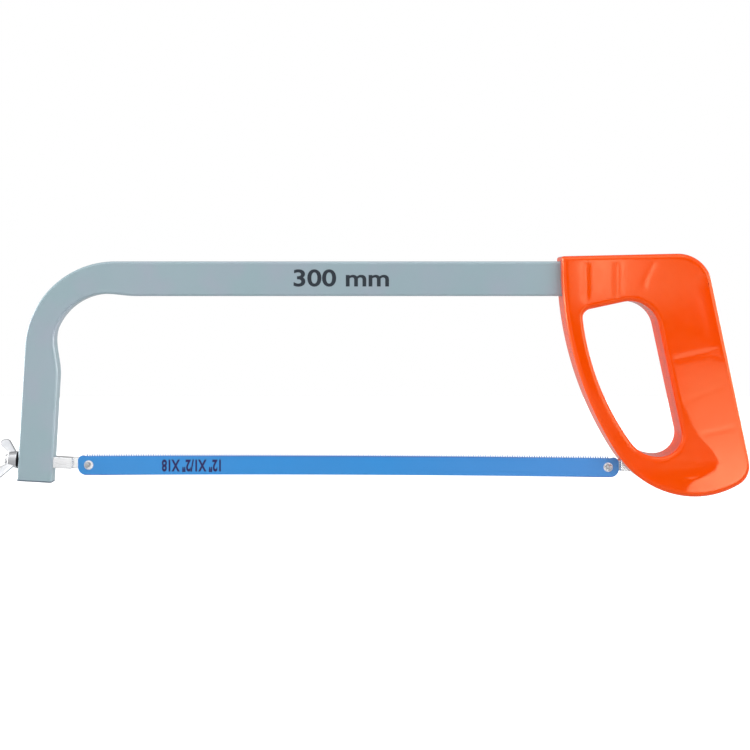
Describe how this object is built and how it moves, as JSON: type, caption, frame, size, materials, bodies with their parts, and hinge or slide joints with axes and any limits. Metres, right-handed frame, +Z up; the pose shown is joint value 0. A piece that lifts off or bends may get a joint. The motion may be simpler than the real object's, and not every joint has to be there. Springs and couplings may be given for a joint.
{
  "type": "hacksaw",
  "caption": "Hacksaw with a bent rectangular tube frame, a toothed blade on two pins, a square tension bolt with wing nut and a closed D handle.",
  "frame": {"origin": "centre of the handle's grip, on the saw's middle plane", "axes": "+X to the back of the handle along the saw's length, +Y through the saw from its marked side to its screw side, +Z up towards the tube"},
  "size_m": [0.4337, 0.023, 0.1388],
  "materials": {
    "tube_paint": "smooth grey-blue enamel with a soft gloss",
    "handle_plastic": "glossy bright orange moulded plastic with faint sink marks",
    "blade_paint": "thin satin blue enamel",
    "zinc_steel": "bright zinc plate",
    "zinc_cast": "bright zinc-plated casting",
    "black_oxide": "black oxide",
    "dark_plastic": "dark grey-blue moulded plastic",
    "plain_steel": "plain bright steel",
    "core_metal": "dark plain forged steel",
    "screw_steel": "zinc-plated self-tapping screws"
  },
  "bodies": {
    "frame": {"frame_tube": "tube_paint", "leg_end_plug": "dark_plastic", "tension_washer": "black_oxide", "core_fork": "core_metal", "fork_rivets": "plain_steel", "rear_blade_holder": "zinc_steel", "rear_blade_pin": "zinc_steel", "rear_cross_pin": "plain_steel", "handle_shell_front": "handle_plastic", "handle_shell_rear": "handle_plastic", "handle_screws": "screw_steel"},
    "tension_bolt": {"tension_bolt": "zinc_steel", "front_blade_pin": "zinc_steel"},
    "wing_nut": {"wing_nut": "zinc_cast"},
    "blade": {"blade": "blade_paint"}
  },
  "joints": [
    {"name": "wing_nut_turn", "type": "hinge", "parent": "frame", "child": "wing_nut", "pos_m": [-0.396, 0, -0.0432], "axis": [-0.9983, 0, 0.0576], "range_deg": [0, 450]},
    {"name": "tension_slide", "type": "slide", "parent": "frame", "child": "tension_bolt", "axis": [0.9983, 0, -0.0576], "range_m": [0, 0.00125]},
    {"name": "blade_lift", "type": "slide", "parent": "frame", "child": "blade", "axis": [0, -1, 0], "range_m": [0, 0.06]}
  ],
  "couplings": [
    {"joint": "wing_nut_turn", "follows": "tension_slide", "rad_per_m": 6283.2}
  ]
}
